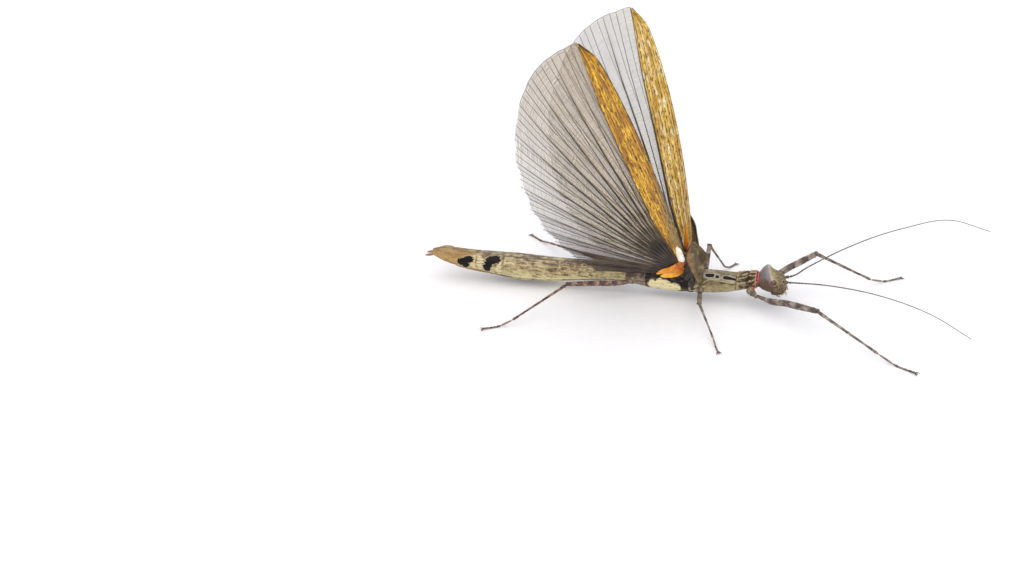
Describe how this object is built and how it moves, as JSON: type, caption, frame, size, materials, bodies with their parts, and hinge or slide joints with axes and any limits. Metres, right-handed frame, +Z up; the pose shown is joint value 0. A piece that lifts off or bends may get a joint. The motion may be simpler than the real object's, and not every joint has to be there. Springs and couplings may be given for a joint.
{
  "type": "stick insect",
  "caption": "Slender winged stick insect standing with its forewings raised and its fan-shaped hindwings spread upright in display.",
  "frame": {"origin": "middle of the bottom of the insect's box, on the floor that its feet stand on", "axes": "+X from the tail to the head, along the body; +Z up, along the raised wings; +Y to the insect's left"},
  "size_m": [0.1262, 0.046, 0.0627],
  "materials": {
    "head_shell": "smooth waxy cuticle, grey-lilac on the crown, cream-olive and grained on the face",
    "eye": "glossy, fine facets",
    "mouthparts": "brown, slightly glossy, pale feelers",
    "antenna": "dark brown rings, matt",
    "neck_band": "bright red, moist gloss",
    "thorax_shell": "olive-grey cuticle with cream ridges and black marks, satin",
    "abdomen_shell": "tan, cream and mauve-brown mottled cuticle, satin",
    "leg_shell": "grey-brown bands, satin",
    "forewing": "leathery olive-brown with raised net of veins",
    "hindwing_panel": "leathery yellow-brown with dark dashes",
    "hindwing_membrane": "thin clear grey membrane with dark brown veins"
  },
  "bodies": {
    "root": {"neck": "neck_band", "prothorax": "thorax_shell", "mesothorax": "thorax_shell", "metathorax": "thorax_shell", "median_segment": "thorax_shell", "abdomen_2": "abdomen_shell", "abdomen_3": "abdomen_shell", "abdomen_4": "abdomen_shell", "abdomen_5": "abdomen_shell", "abdomen_6": "abdomen_shell", "abdomen_7": "abdomen_shell", "abdomen_tip": "abdomen_shell", "eye_left": "eye", "eye_right": "eye", "head": "head_shell", "mouthparts": "mouthparts", "antenna_left": "antenna", "antenna_right": "antenna", "fore_left_coxa": "leg_shell", "fore_left_femur": "leg_shell", "fore_left_tibia": "leg_shell", "fore_left_tarsus": "leg_shell", "fore_right_coxa": "leg_shell", "fore_right_femur": "leg_shell", "fore_right_tibia": "leg_shell", "fore_right_tarsus": "leg_shell", "mid_left_coxa": "leg_shell", "mid_left_femur": "leg_shell", "mid_left_tibia": "leg_shell", "mid_left_tarsus": "leg_shell", "mid_right_coxa": "leg_shell", "mid_right_femur": "leg_shell", "mid_right_tibia": "leg_shell", "mid_right_tarsus": "leg_shell", "hind_left_coxa": "leg_shell", "hind_left_femur": "leg_shell", "hind_left_tibia": "leg_shell", "hind_left_tarsus": "leg_shell", "hind_right_coxa": "leg_shell", "hind_right_femur": "leg_shell", "hind_right_tibia": "leg_shell", "hind_right_tarsus": "leg_shell", "hindwing_front_left": "hindwing_panel", "hindwing_fan_left": "hindwing_membrane", "tegmen_left": "forewing", "hindwing_front_right": "hindwing_panel", "hindwing_fan_right": "hindwing_membrane", "tegmen_right": "forewing", "cercus_left": "abdomen_shell", "cercus_right": "abdomen_shell"}
  },
  "joints": []
}
